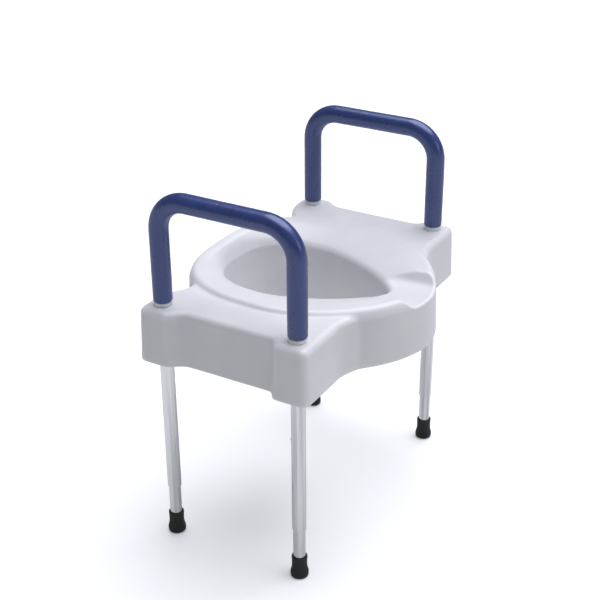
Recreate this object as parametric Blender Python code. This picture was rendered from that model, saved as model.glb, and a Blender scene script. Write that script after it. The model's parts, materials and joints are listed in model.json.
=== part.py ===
"""Raised toilet seat with armrests and four telescopic legs.

Units are metres, +Z is up and the user sits facing -Y. The origin is on the floor, under the
centre of the seat ring. "left" and "right" are the seated user's own sides: left is +X.
"""
import math

import bmesh
import bpy
from mathutils import Matrix, Vector

MM = 0.001
GAP = 0.3 * MM                      # clearance between pieces that touch

# ---- seat shell -------------------------------------------------------------------------
SHELL_BOTTOM = 377.0 * MM
DECK_TOP = 480.0 * MM               # flat deck that the armrests stand on
SHELL_WALL = 3.5 * MM
SIDE_WALL_X = 274.0 * MM
DECK_EDGE_R = 10.0 * MM
BASE_EDGE_R = 3.0 * MM
BASE_FLARE = 4.0 * MM               # mould draft: how much wider the bottom is, on each side

RING_HALF_WIDTH = 205.0 * MM
RING_HALF_LENGTH = 223.0 * MM
RING_FRONT_POWER = 1.8              # below 2 the oval is pointed, above 2 it is squarer
RING_REAR_POWER = 2.7
RING_INSET = 3.0 * MM
RING_EDGE_R = 12.0 * MM
RING_CREST = 488.0 * MM
RING_CREST_WIDTH = 24.0 * MM

HOLE_HALF_WIDTH = 111.0 * MM
HOLE_MID_Y = 50.0 * MM
HOLE_FRONT_Y = -143.0 * MM
HOLE_REAR_Y = 180.0 * MM
HOLE_FRONT_POWER = 1.45
HOLE_REAR_POWER = 2.5
HOLE_EDGE_Z = 462.0 * MM
HOLE_DRAFT = 8.0 * MM                # how much narrower the hole is at the splash lip's bottom
LIP_BOTTOM = 340.0 * MM             # splash lip that hangs into the bowl
LIP_WALL = 4.5 * MM
LIP_ROOT_Z = 385.0 * MM
FUNNEL_POWER = 1.5

DIP_FLOOR_HALF = 40.0 * MM          # hygiene dip through the front of the ring
DIP_TOP_HALF = 62.0 * MM
DIP_FLOOR_Z = 468.5 * MM

VENT_R = 4.0 * MM
VENT_X = 100.0 * MM
VENT_Y = -150.0 * MM

# ---- corner posts -----------------------------------------------------------------------
POST_X = 261.8 * MM
POST_FRONT_Y = -109.3 * MM
POST_REAR_Y = 159.3 * MM
BOSS_HALF = 32.0 * MM
BOSS_CORNER_R = 14.0 * MM
SKIRT_END_Y = -153.0 * MM           # in front of this the shell's plan is the ring's own
BULGE_START_Y = 172.0 * MM          # and behind this too
SOCKET_R = 17.5 * MM
SOCKET_TOP = 475.3 * MM             # the leg tube butts here, under the deck

# ---- tubes ------------------------------------------------------------------------------
TUBE_WALL = 1.2 * MM
LEG_R = 12.7 * MM
SLIM_R = 11.1 * MM                  # arm tubes and leg extensions, which fit inside the legs
LEG_BOTTOM = 102.0 * MM
LEG_TOP = SOCKET_TOP - GAP
EXTENSION_BOTTOM = 7.9 * MM
EXTENSION_TOP = 305.0 * MM
ARM_BOTTOM = 345.0 * MM
ARM_TOP = 678.0 * MM                # centreline of the hand bar
ARM_BEND_R = 57.0 * MM

# ---- foam, collars, tips ----------------------------------------------------------------
FOAM_R = 17.0 * MM
FOAM_BORE_R = 11.5 * MM
FOAM_BOTTOM = 488.0 * MM
FOAM_SEAM_Y = 33.0 * MM
COLLAR_R = 16.0 * MM
COLLAR_BORE_R = 11.4 * MM
COLLAR_CHAMFER = 1.5 * MM
TIP_TOP = 43.0 * MM
TIP_FLOOR = 6.0 * MM
TIP_BORE_R = 11.4 * MM
WASHER_R = 10.9 * MM
WASHER_BORE_R = 4.0 * MM
WASHER_THICK = 1.3 * MM

# ---- snap buttons -----------------------------------------------------------------------
HOLE_PITCH = 12.7 * MM
HOLES_BELOW = 4                     # height holes below the one in use
HOLES_ABOVE = 2
BUTTON_Z = 285.0 * MM
ARM_LOCK_Z = 362.0 * MM
BUTTON_R = 3.0 * MM
BUTTON_TIP_Y = 15.2 * MM            # from the tube's axis
BUTTON_DOME = 1.0 * MM
FLANGE_R = 4.3 * MM
FLANGE_INNER_Y = 7.5 * MM
FLANGE_OUTER_Y = 8.5 * MM
SLIM_HOLE_R = 3.3 * MM
LEG_HOLE_R = 3.5 * MM
DRILL_START_Y = 4.0 * MM            # inside the tube's bore, so only the rear wall is cut
DRILL_REACH = 14.0 * MM
SPRING_HALF_WIDTH = 4.0 * MM
SPRING_THICK = 0.7 * MM
SPRING_BACK_Y = 8.6 * MM
SPRING_LENGTH = 44.0 * MM

TUBE_SIDES = 16
SMALL_SIDES = 12                    # drilled holes, buttons and vents
BEND_STEPS = 6
REAR_TURN = Matrix.Rotation(math.radians(-90.0), 3, "X")    # turns +Z to +Y
CORNERS = {
    "front_left": (POST_X, POST_FRONT_Y),
    "rear_left": (POST_X, POST_REAR_Y),
    "front_right": (-POST_X, POST_FRONT_Y),
    "rear_right": (-POST_X, POST_REAR_Y),
}


# ---- scene and materials ----------------------------------------------------------------
def clear_scene():
    """Removes whatever the file holds, so that the script starts from nothing."""
    for obj in list(bpy.data.objects):
        bpy.data.objects.remove(obj, do_unlink=True)


def make_material(name, colour, roughness, metallic=0.0):
    mat = bpy.data.materials.new(name)
    mat.use_nodes = True
    shader = mat.node_tree.nodes["Principled BSDF"]
    shader.inputs["Base Color"].default_value = (*colour, 1.0)
    shader.inputs["Roughness"].default_value = roughness
    shader.inputs["Metallic"].default_value = metallic
    return mat


def make_materials():
    return {
        "shell": make_material("moulded_polyethylene", (0.80, 0.80, 0.83), 0.38),
        "foam": make_material("blue_foam", (0.040, 0.070, 0.25), 0.55),
        "alloy": make_material("anodised_aluminium", (0.62, 0.62, 0.64), 0.30, 1.0),
        "collar": make_material("white_nylon", (0.85, 0.85, 0.86), 0.40),
        "rubber": make_material("black_rubber", (0.025, 0.025, 0.025), 0.75),
        "steel": make_material("zinc_plated_steel", (0.55, 0.55, 0.53), 0.35, 1.0),
    }


# ---- mesh helpers -----------------------------------------------------------------------
def add_object(name, bm, material, location=(0.0, 0.0, 0.0)):
    """Turns a bmesh into a named object with outward faces and smooth round sides."""
    bmesh.ops.recalc_face_normals(bm, faces=bm.faces)
    mesh = bpy.data.meshes.new(name)
    bm.to_mesh(mesh)
    bm.free()
    mesh.shade_smooth()
    mesh.set_sharp_from_angle(angle=math.radians(35.0))
    mesh.materials.append(material)
    obj = bpy.data.objects.new(name, mesh)
    obj.location = location
    bpy.context.scene.collection.objects.link(obj)
    return obj


def loft(loops, closed_ring=False):
    """Skins equal-length closed loops; both ends are capped unless the loops form a ring."""
    bm = bmesh.new()
    rows = [[bm.verts.new(point) for point in loop] for loop in loops]
    pairs = list(zip(rows, rows[1:]))
    if closed_ring:
        pairs.append((rows[-1], rows[0]))
    for lower, upper in pairs:
        for i in range(len(lower)):
            j = (i + 1) % len(lower)
            bm.faces.new((lower[i], lower[j], upper[j], upper[i]))
    if not closed_ring:
        bm.faces.new(list(reversed(rows[0])))
        bm.faces.new(rows[-1])
    return bm


def circle(radius, z, sides=TUBE_SIDES):
    step = 2.0 * math.pi / sides
    return [Vector((radius * math.cos(step * (i + 0.5)), radius * math.sin(step * (i + 0.5)), z))
            for i in range(sides)]


def turned(profile, sides=TUBE_SIDES, closed_ring=False):
    """A solid of revolution about Z from (radius, z) points, bottom to top."""
    return loft([circle(radius, z, sides) for radius, z in profile], closed_ring)


def straight_tube(outer, inner, bottom, top):
    """A length of round tube, as one ring-shaped skin."""
    return turned([(outer, bottom), (outer, top), (inner, top), (inner, bottom)],
                  closed_ring=True)


def swept_tube(path, outer, inner):
    """A tube along a path in the YZ plane; the section is square to the path everywhere."""
    def loops(radius, stations):
        rows = []
        for point, tangent in stations:
            across = Vector((1.0, 0.0, 0.0))
            other = tangent.cross(across)
            step = 2.0 * math.pi / TUBE_SIDES
            rows.append([point + across * radius * math.cos(step * (i + 0.5))
                         + other * radius * math.sin(step * (i + 0.5))
                         for i in range(TUBE_SIDES)])
        return rows

    return loft(loops(outer, path) + loops(inner, list(reversed(path))), closed_ring=True)


def cutter(name, bm, location=(0.0, 0.0, 0.0)):
    """A solid that only cuts: hidden in renders and drawn as wire."""
    bmesh.ops.recalc_face_normals(bm, faces=bm.faces)
    mesh = bpy.data.meshes.new(name)
    bm.to_mesh(mesh)
    bm.free()
    obj = bpy.data.objects.new(name, mesh)
    obj.location = location
    obj.hide_render = True
    obj.display_type = "WIRE"
    bpy.context.scene.collection.objects.link(obj)
    return obj


def boolean(target, tool, operation="DIFFERENCE"):
    mod = target.modifiers.new(tool.name, "BOOLEAN")
    mod.object = tool
    mod.operation = operation
    mod.solver = "EXACT"
    return mod


# ---- plan outlines ----------------------------------------------------------------------
def oval(half_width, mid_y, front_y, rear_y, front_power, rear_power, count=48):
    """A rounded oval, counter-clockwise from its front point, with its own power at each end."""
    points = []
    for i in range(count):
        angle = 2.0 * math.pi * i / count - math.pi / 2.0
        c, s = math.cos(angle), math.sin(angle)
        power = front_power if s < 0.0 else rear_power
        reach = mid_y - front_y if s < 0.0 else rear_y - mid_y
        x = half_width * math.copysign(abs(c) ** (2.0 / power), c)
        y = mid_y + reach * math.copysign(abs(s) ** (2.0 / power), s)
        points.append((0.0 if abs(c) < 1e-9 else x, y))
    return points


def ring_oval():
    return oval(RING_HALF_WIDTH, 0.0, -RING_HALF_LENGTH, RING_HALF_LENGTH,
                RING_FRONT_POWER, RING_REAR_POWER)


def hole_oval():
    return oval(HOLE_HALF_WIDTH, HOLE_MID_Y, HOLE_FRONT_Y, HOLE_REAR_Y,
                HOLE_FRONT_POWER, HOLE_REAR_POWER)


def inset(points, amount):
    """Moves a counter-clockwise outline inwards, keeping its edges parallel."""
    result = []
    for i, (x, y) in enumerate(points):
        before = Vector((x, y)) - Vector(points[i - 1])
        after = Vector(points[(i + 1) % len(points)]) - Vector((x, y))
        before.normalize()
        after.normalize()
        normal = Vector((-before.y - after.y, before.x + after.x))
        normal.normalize()
        lean = max(0.35, normal.dot(Vector((-after.y, after.x))))
        result.append((x + normal.x * amount / lean, y + normal.y * amount / lean))
    return result


def arc(centre, radius, start_deg, end_deg, steps=4):
    """Points along an arc, both ends included."""
    points = []
    for k in range(steps + 1):
        angle = math.radians(start_deg + (end_deg - start_deg) * k / steps)
        points.append((centre[0] + radius * math.cos(angle), centre[1] + radius * math.sin(angle)))
    return points


def front_boss():
    """Plan of the front left boss, from the blend out of the skirt to the sharp step behind it."""
    edge = POST_X + BOSS_HALF
    face = POST_FRONT_Y - BOSS_HALF
    back = POST_FRONT_Y + BOSS_HALF
    skirt_blend = [(157.0 * MM, face - 5.7 * MM), (180.0 * MM, face + 1.0 * MM)]
    corner = arc((edge - BOSS_CORNER_R, face + BOSS_CORNER_R), BOSS_CORNER_R, -90.0, 0.0)
    step = [(edge, back - 6.0 * MM), (edge - 6.0 * MM, back),
            (SIDE_WALL_X + 8.0 * MM, back + 3.0 * MM), (SIDE_WALL_X, back + 11.0 * MM)]
    return skirt_blend + corner + step


def rear_boss():
    """Plan of the rear left boss, from its soft rise out of the side wall to the rear valley."""
    edge = POST_X + BOSS_HALF
    face = POST_REAR_Y + BOSS_HALF
    front = POST_REAR_Y - BOSS_HALF
    rise = [(SIDE_WALL_X, front - 32.0 * MM), (SIDE_WALL_X + 2.0 * MM, front - 18.0 * MM),
            (SIDE_WALL_X + 9.0 * MM, front - 7.0 * MM), (edge - 6.0 * MM, front),
            (edge, front + 8.0 * MM)]
    corner = arc((edge - BOSS_CORNER_R, face - BOSS_CORNER_R), BOSS_CORNER_R, 0.0, 90.0)
    valley = [(246.0 * MM, face), (226.0 * MM, face - 4.3 * MM), (208.0 * MM, face - 13.3 * MM),
              (192.0 * MM, face - 23.3 * MM), (178.0 * MM, face - 28.3 * MM),
              (167.0 * MM, face - 27.3 * MM)]
    return rise + corner + valley


def left_outline():
    """The shell's plan on the user's left, from the front middle to the rear middle."""
    ring = [p for p in ring_oval() if p[0] >= 0.0]
    skirt = [p for p in ring if p[1] < SKIRT_END_Y]
    bulge = [p for p in ring if p[1] > BULGE_START_Y]
    return skirt + front_boss() + rear_boss() + bulge


def shell_outline():
    left = left_outline()
    right = [(-x, y) for x, y in reversed(left) if x > 1e-6]
    return left + right


def at_height(points, z):
    return [Vector((x, y, z)) for x, y in points]


# ---- seat shell -------------------------------------------------------------------------
def slab_loops():
    outline = shell_outline()
    loops = [at_height(inset(outline, BASE_EDGE_R - BASE_FLARE), SHELL_BOTTOM),
             at_height(inset(outline, -BASE_FLARE), SHELL_BOTTOM + BASE_EDGE_R)]
    for k in range(4):
        turn = math.radians(30.0 * k)
        loops.append(at_height(inset(outline, DECK_EDGE_R * (1.0 - math.cos(turn))),
                               DECK_TOP - DECK_EDGE_R * (1.0 - math.sin(turn))))
    return loops


def ring_loops():
    oval_points = ring_oval()
    base_z = SHELL_BOTTOM + 60.0 * MM
    loops = [at_height(inset(oval_points, RING_INSET), base_z)]
    for k in range(4):
        turn = math.radians(30.0 * k)
        loops.append(at_height(inset(oval_points, RING_INSET + RING_EDGE_R * (1.0 - math.cos(turn))),
                               RING_CREST - RING_EDGE_R * (1.0 - math.sin(turn))))
    return loops


def blend(first, second, share):
    return [(a[0] + (b[0] - a[0]) * share, a[1] + (b[1] - a[1]) * share)
            for a, b in zip(first, second)]


def funnel_height(share):
    """Height of the sitting surface from the hole's edge (0) to the ring's crest (1)."""
    return HOLE_EDGE_Z + (RING_CREST - HOLE_EDGE_Z) * (1.0 - (1.0 - share) ** FUNNEL_POWER)


def funnel_loops():
    """The cutter that opens the hole and hollows the sitting surface above it."""
    hole = hole_oval()
    crest = inset(ring_oval(), RING_CREST_WIDTH)
    loops = [at_height(inset(hole, HOLE_DRAFT), LIP_BOTTOM - 5.0 * MM),
             at_height(hole, HOLE_EDGE_Z - 6.0 * MM),
             at_height(inset(hole, -1.5 * MM), HOLE_EDGE_Z - 1.0 * MM)]
    for share in (0.1, 0.35, 0.65, 0.97):
        loops.append(at_height(blend(hole, crest, share), funnel_height(share)))
    loops.append(at_height(blend(hole, crest, 1.03), RING_CREST + 0.6 * MM))
    loops.append(at_height(blend(hole, crest, 1.05), RING_CREST + 12.0 * MM))
    return loops


def lip_loops():
    """The splash lip round the hole's lower end, before the hole is cut through it."""
    outer = inset(hole_oval(), HOLE_DRAFT - LIP_WALL)
    return [at_height(outer, LIP_BOTTOM), at_height(inset(outer, -1.5 * MM), LIP_ROOT_Z)]


def dip_loops():
    """The cutter for the hygiene dip, as sections from the front back to the hole."""
    loops = []
    for y, drop in ((-RING_HALF_LENGTH - 12.0 * MM, 0.0), (-95.0 * MM, 6.0 * MM)):
        floor = DIP_FLOOR_Z - drop
        half = [(DIP_FLOOR_HALF, floor), (DIP_FLOOR_HALF + 9.0 * MM, floor + 3.5 * MM),
                (DIP_TOP_HALF - 4.0 * MM, RING_CREST - 5.0 * MM), (DIP_TOP_HALF, RING_CREST + 1.0 * MM),
                (DIP_TOP_HALF + 1.0 * MM, RING_CREST + 14.0 * MM)]
        section = half + [(-x, z) for x, z in reversed(half)]
        loops.append([Vector((x, y, z)) for x, z in section])
    return loops


def cavity_loops():
    """The hollow between the skins, before the hole's wall and the sockets are left standing."""
    outline = shell_outline()
    low = SHELL_BOTTOM + SHELL_WALL
    high = DECK_TOP - SHELL_WALL
    return [at_height(inset(outline, SHELL_WALL - BASE_FLARE), low),
            at_height(inset(outline, SHELL_WALL), high - 7.0 * MM),
            at_height(inset(outline, SHELL_WALL + 5.0 * MM), high)]


def core_loops():
    """Material kept around the hole and under the sitting surface."""
    hole = hole_oval()
    crest = inset(ring_oval(), RING_CREST_WIDTH)
    wall = inset(hole, -SHELL_WALL - 1.0 * MM)
    return [at_height(wall, SHELL_BOTTOM - 8.0 * MM), at_height(wall, HOLE_EDGE_Z - 7.0 * MM),
            at_height(blend(wall, crest, 0.15), HOLE_EDGE_Z - 3.0 * MM),
            at_height(blend(wall, crest, 0.58), DECK_TOP - 1.0 * MM),
            at_height(blend(wall, crest, 0.62), DECK_TOP + 8.0 * MM)]


def block(low, high):
    corners = [(low[0], low[1]), (high[0], low[1]), (high[0], high[1]), (low[0], high[1])]
    return loft([at_height(corners, low[2]), at_height(corners, high[2])])


def cylinder(radius, bottom, top, sides=TUBE_SIDES):
    return turned([(radius, bottom), (radius, top)], sides)


def build_cavity():
    """The hollow, with the sockets, the hole's wall and the dip's floor left standing in it."""
    cavity = cutter("cut_cavity", loft(cavity_loops()))
    for corner, (x, y) in CORNERS.items():
        post = cylinder(SOCKET_R, SHELL_BOTTOM - 6.0 * MM, DECK_TOP + 6.0 * MM)
        boolean(cavity, cutter("keep_socket_" + corner, post, (x, y, 0.0)))
    boolean(cavity, cutter("keep_core", loft(core_loops())))
    guard = block((-DIP_TOP_HALF - 5.0 * MM, -RING_HALF_LENGTH - 4.0 * MM, HOLE_EDGE_Z - 5.0 * MM),
                  (DIP_TOP_HALF + 5.0 * MM, -85.0 * MM, DECK_TOP + 5.0 * MM))
    boolean(cavity, cutter("keep_under_dip", guard))
    return cavity


def build_shell(mats):
    """Blow-moulded body: deck with corner bosses, seat ring, splash lip, hole and dip."""
    shell = add_object("seat_shell", loft(slab_loops()), mats["shell"])
    boolean(shell, cutter("add_ring", loft(ring_loops())), "UNION")
    boolean(shell, cutter("add_lip", loft(lip_loops())), "UNION")
    boolean(shell, cutter("cut_funnel", loft(funnel_loops())))
    boolean(shell, cutter("cut_dip", loft(dip_loops())))
    for corner, (x, y) in CORNERS.items():
        socket = cylinder(LEG_R + GAP, SHELL_BOTTOM - 5.0 * MM, SOCKET_TOP)
        boolean(shell, cutter("cut_socket_" + corner, socket, (x, y, 0.0)))
        bore = cylinder(SLIM_R + GAP, SOCKET_TOP - 5.0 * MM, DECK_TOP + 5.0 * MM)
        boolean(shell, cutter("cut_arm_bore_" + corner, bore, (x, y, 0.0)))
    for side in (-1.0, 1.0):
        vent = cylinder(VENT_R, SHELL_BOTTOM - 5.0 * MM, SHELL_BOTTOM + 8.0 * MM, SMALL_SIDES)
        boolean(shell, cutter("cut_vent_%d" % side, vent, (side * VENT_X, VENT_Y, 0.0)))
    boolean(shell, build_cavity())
    return shell


# ---- armrests ---------------------------------------------------------------------------
def arm_path(start_z=ARM_BOTTOM):
    """Stations (point, tangent) up the front post, over the hand bar and down the rear post."""
    front, rear = POST_FRONT_Y, POST_REAR_Y
    spring_z = ARM_TOP - ARM_BEND_R
    stations = [(Vector((0.0, front, start_z)), Vector((0.0, 0.0, 1.0)))]
    for centre_y, start in ((front + ARM_BEND_R, 180.0), (rear - ARM_BEND_R, 90.0)):
        for k in range(BEND_STEPS + 1):
            angle = math.radians(start - 90.0 * k / BEND_STEPS)
            point = Vector((0.0, centre_y + ARM_BEND_R * math.cos(angle),
                            spring_z + ARM_BEND_R * math.sin(angle)))
            stations.append((point, Vector((0.0, math.sin(angle), -math.cos(angle)))))
    stations.append((Vector((0.0, rear, start_z)), Vector((0.0, 0.0, -1.0))))
    return stations


def foam_path(part):
    """The stretch of the arm's path that one foam sleeve covers."""
    stations = arm_path(FOAM_BOTTOM)
    along = Vector((0.0, 1.0, 0.0))
    if part == "front":
        kept = stations[:BEND_STEPS + 2]
        return kept + [(Vector((0.0, FOAM_SEAM_Y - GAP / 2.0, ARM_TOP)), along)]
    kept = stations[BEND_STEPS + 2:]
    return [(Vector((0.0, FOAM_SEAM_Y + GAP / 2.0, ARM_TOP)), along)] + kept


def rear_hole(target, name, x, y, z, radius):
    """Drills a round hole through a tube's rear wall only."""
    drill = cylinder(radius, 0.0, DRILL_REACH, SMALL_SIDES)
    bmesh.ops.rotate(drill, verts=drill.verts, cent=(0.0, 0.0, 0.0), matrix=REAR_TURN)
    boolean(target, cutter(name, drill, (x, y + DRILL_START_Y, z)))


def build_arm(side, sign, mats):
    x = sign * POST_X
    tube = add_object("arm_tube_" + side, swept_tube(arm_path(), SLIM_R, SLIM_R - TUBE_WALL),
                      mats["alloy"], (x, 0.0, 0.0))
    for end, y in (("front", POST_FRONT_Y), ("rear", POST_REAR_Y)):
        rear_hole(tube, "drill_arm_%s_%s" % (end, side), x, y, ARM_LOCK_Z, SLIM_HOLE_R)
        add_object("arm_foam_%s_%s" % (end, side), swept_tube(foam_path(end), FOAM_R, FOAM_BORE_R),
                   mats["foam"], (x, 0.0, 0.0))


def build_collar(corner, x, y, mats):
    """White ring on the arm tube that the armrest stands on."""
    low, high = DECK_TOP + GAP, FOAM_BOTTOM - GAP
    profile = [(COLLAR_R, low), (COLLAR_R, high - COLLAR_CHAMFER),
               (COLLAR_R - COLLAR_CHAMFER, high), (COLLAR_BORE_R, high), (COLLAR_BORE_R, low)]
    add_object("arm_collar_" + corner, turned(profile, closed_ring=True), mats["collar"], (x, y, 0.0))


# ---- legs -------------------------------------------------------------------------------
def build_leg(corner, x, y, mats):
    leg = add_object("leg_tube_" + corner, straight_tube(LEG_R, LEG_R - TUBE_WALL, LEG_BOTTOM, LEG_TOP),
                     mats["alloy"], (x, y, 0.0))
    rear_hole(leg, "drill_lock_" + corner, x, y, ARM_LOCK_Z, LEG_HOLE_R)
    for k in range(-HOLES_BELOW, HOLES_ABOVE + 1):
        rear_hole(leg, "drill_height_%s_%d" % (corner, k), x, y, BUTTON_Z + k * HOLE_PITCH,
                  LEG_HOLE_R)
    extension = add_object("leg_extension_" + corner,
                           straight_tube(SLIM_R, SLIM_R - TUBE_WALL, EXTENSION_BOTTOM, EXTENSION_TOP),
                           mats["alloy"], (x, y, 0.0))
    rear_hole(extension, "drill_button_" + corner, x, y, BUTTON_Z, SLIM_HOLE_R)


def build_tip(corner, x, y, mats):
    """Flared rubber ferrule with a steel washer on its floor."""
    profile = [(14.0 * MM, 0.0), (16.0 * MM, 2.0 * MM), (16.6 * MM, 7.0 * MM), (16.0 * MM, 12.0 * MM),
               (14.2 * MM, 18.0 * MM), (13.8 * MM, TIP_TOP - 1.0 * MM), (13.2 * MM, TIP_TOP),
               (TIP_BORE_R, TIP_TOP), (TIP_BORE_R, TIP_FLOOR)]
    add_object("leg_tip_" + corner, turned(profile), mats["rubber"], (x, y, 0.0))
    low = TIP_FLOOR + GAP
    add_object("tip_washer_" + corner, straight_tube(WASHER_R, WASHER_BORE_R, low, low + WASHER_THICK),
               mats["steel"], (x, y, 0.0))


# ---- snap buttons -----------------------------------------------------------------------
def head_profile(root):
    return [(BUTTON_R, root), (BUTTON_R, BUTTON_TIP_Y - BUTTON_DOME),
            (BUTTON_R * 0.6, BUTTON_TIP_Y)]


def hairpin(head_side_y, head_side_thick, bend_up):
    """Closed outline in (y, z) of a folded leaf spring, about the button's height."""
    back, front = -SPRING_BACK_Y, head_side_y
    mid, reach = (back + front) / 2.0, (front - back) / 2.0
    turn = 1.0 if bend_up else -1.0
    bend_z = turn * SPRING_LENGTH * 0.35
    tail_z = bend_z - turn * SPRING_LENGTH * 0.6
    outer, inner = [], []
    for k in range(7):
        angle = math.pi * k / 6.0
        outer.append((mid + reach * math.cos(angle), bend_z + turn * reach * math.sin(angle)))
        inner.append((mid + (reach - head_side_thick) * math.cos(angle),
                      bend_z + turn * (reach - head_side_thick) * math.sin(angle)))
    return ([(front, tail_z)] + outer + [(back, tail_z), (back + head_side_thick, tail_z)]
            + list(reversed(inner)) + [(front - head_side_thick, tail_z)])


def spring_mesh(head_side_y, bend_up):
    outline = hairpin(head_side_y, SPRING_THICK, bend_up)
    return loft([[Vector((x, y, z)) for y, z in outline]
                 for x in (-SPRING_HALF_WIDTH, SPRING_HALF_WIDTH)])


def build_leg_button(corner, x, y, mats):
    """Button that pops out through the leg, with its own folded spring behind it."""
    profile = [(FLANGE_R, FLANGE_INNER_Y), (FLANGE_R, FLANGE_OUTER_Y)] + head_profile(FLANGE_OUTER_Y)
    bm = turned(profile, SMALL_SIDES)
    bmesh.ops.rotate(bm, verts=bm.verts, cent=(0.0, 0.0, 0.0), matrix=REAR_TURN)
    add_object("leg_button_" + corner, bm, mats["steel"], (x, y, BUTTON_Z))
    add_object("leg_button_spring_" + corner, spring_mesh(FLANGE_INNER_Y - GAP, False),
               mats["steel"], (x, y, BUTTON_Z))


def build_arm_lock(corner, x, y, mats):
    """One-piece spring clip: the button is riveted to the folded leaf."""
    leaf_y = SPRING_BACK_Y
    clip = add_object("arm_lock_clip_" + corner, spring_mesh(leaf_y, True), mats["steel"],
                      (x, y, ARM_LOCK_Z))
    head = turned(head_profile(leaf_y - SPRING_THICK * 0.5), SMALL_SIDES)
    bmesh.ops.rotate(head, verts=head.verts, cent=(0.0, 0.0, 0.0), matrix=REAR_TURN)
    boolean(clip, cutter("add_head_" + corner, head, (x, y, ARM_LOCK_Z)), "UNION")


# ---- assembly ---------------------------------------------------------------------------
def main():
    clear_scene()
    mats = make_materials()
    build_shell(mats)
    for side, sign in (("left", 1.0), ("right", -1.0)):
        build_arm(side, sign, mats)
    for corner, (x, y) in CORNERS.items():
        build_collar(corner, x, y, mats)
        build_leg(corner, x, y, mats)
        build_tip(corner, x, y, mats)
        build_leg_button(corner, x, y, mats)
        build_arm_lock(corner, x, y, mats)


main()
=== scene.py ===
"""Raised toilet seat on telescopic legs: the looks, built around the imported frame.

Lengths inside the classes are millimetres, because that is how tube, foam and mouldings are
sized; ``MM`` turns them to Blender's metres. +Z is up, the seated user faces -Y and the user's
left is +X. Places come from the boxes of the frame's own nodes.
"""
from __future__ import annotations

import json
import logging
import math
from dataclasses import dataclass, field
from enum import Enum
from functools import cached_property
from typing import Any, Sequence

import bmesh
import bpy
import numpy as np
from mathutils import Matrix, Quaternion, Vector


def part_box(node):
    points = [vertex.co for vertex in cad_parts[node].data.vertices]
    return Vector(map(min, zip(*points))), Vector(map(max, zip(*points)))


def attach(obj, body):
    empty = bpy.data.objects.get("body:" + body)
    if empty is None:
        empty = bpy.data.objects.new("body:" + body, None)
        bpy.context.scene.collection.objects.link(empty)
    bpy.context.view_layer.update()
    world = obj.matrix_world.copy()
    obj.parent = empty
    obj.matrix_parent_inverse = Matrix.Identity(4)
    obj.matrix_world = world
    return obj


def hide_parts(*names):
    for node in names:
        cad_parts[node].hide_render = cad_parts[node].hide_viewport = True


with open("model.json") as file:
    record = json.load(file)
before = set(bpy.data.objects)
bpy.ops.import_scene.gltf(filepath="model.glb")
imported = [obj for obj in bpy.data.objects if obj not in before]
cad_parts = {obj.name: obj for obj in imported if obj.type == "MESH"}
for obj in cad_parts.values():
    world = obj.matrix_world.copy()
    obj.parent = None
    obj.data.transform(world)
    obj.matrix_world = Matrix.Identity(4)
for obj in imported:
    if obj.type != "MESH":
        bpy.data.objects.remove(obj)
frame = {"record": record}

MM = 0.001
CRISP_DEG = 40.0                          # edges that turn by more than this stay crisp
LOG = logging.getLogger("raised_seat")

Array = np.ndarray
Point2 = tuple[float, float]
Material = bpy.types.Material
Node = bpy.types.Node
Socket = bpy.types.NodeSocket


class Corner(Enum):
    """The four places where an armrest and a leg meet the seat."""

    FRONT_LEFT = "front_left"
    REAR_LEFT = "rear_left"
    FRONT_RIGHT = "front_right"
    REAR_RIGHT = "rear_right"


class Side(Enum):
    """The seated user's two sides."""

    LEFT = "left"
    RIGHT = "right"


class Slot(Enum):
    """The record's material slots."""

    SHELL = "shell"
    FOAM = "foam"
    ALLOY = "alloy"
    COLLAR = "collar"
    RUBBER = "rubber"
    STEEL = "steel"


# ---- materials --------------------------------------------------------------------------
def linear(colour: str) -> tuple[float, float, float, float]:
    """Turns an sRGB hex colour to linear RGBA."""
    parts = [int(colour[i:i + 2], 16) / 255.0 for i in (1, 3, 5)]
    lifted = [c / 12.92 if c <= 0.04045 else ((c + 0.055) / 1.055) ** 2.4 for c in parts]
    return (*lifted, 1.0)


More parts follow.
